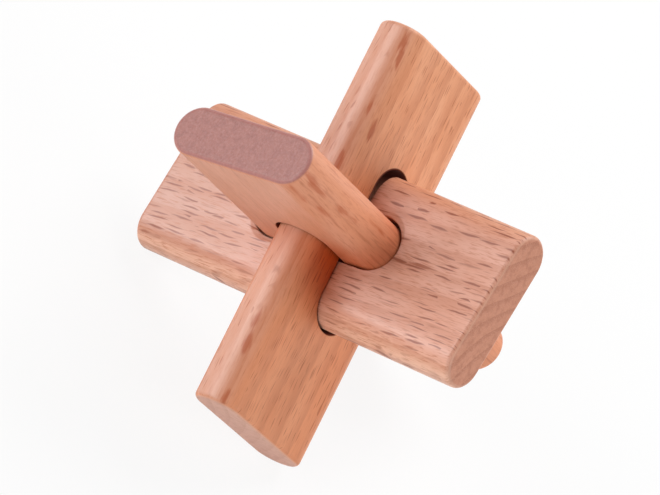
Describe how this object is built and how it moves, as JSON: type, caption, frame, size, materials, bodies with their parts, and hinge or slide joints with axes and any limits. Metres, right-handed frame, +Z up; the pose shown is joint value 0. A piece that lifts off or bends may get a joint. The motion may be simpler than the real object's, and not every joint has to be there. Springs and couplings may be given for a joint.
{
  "type": "wooden burr puzzle",
  "caption": "Interlocking wooden burr puzzle of flat bars with round edges, crossing through each other's slots and standing on their lower ends.",
  "frame": {"origin": "on the table, below the middle of the locked puzzle's bounding box", "axes": "+Z up, square to the table that the lower ends of the bars stand on; +X level, towards the side that the key bar is drawn out of; +Y away from the lower end of the plain bar"},
  "size_m": [0.081, 0.076, 0.066],
  "materials": {
    "plain_beech": "sanded, unvarnished steamed beech",
    "key_beech": "sanded, unvarnished steamed beech with strong flecks",
    "latch_beech": "sanded, unvarnished steamed beech"
  },
  "bodies": {
    "plain_bar": {"plain_bar": "plain_beech"},
    "key_bar": {"key_bar": "key_beech"},
    "latch_bar": {"latch_bar": "latch_beech"}
  },
  "joints": [
    {"name": "key_bar_slide", "type": "slide", "parent": "plain_bar", "child": "key_bar", "axis": [0.841, 0.0094, 0.541], "range_m": [0, 0.013]},
    {"name": "latch_bar_play", "type": "slide", "parent": "plain_bar", "child": "latch_bar", "axis": [-0.3657, -0.7403, 0.5642], "range_m": [0, 0.0013]}
  ]
}
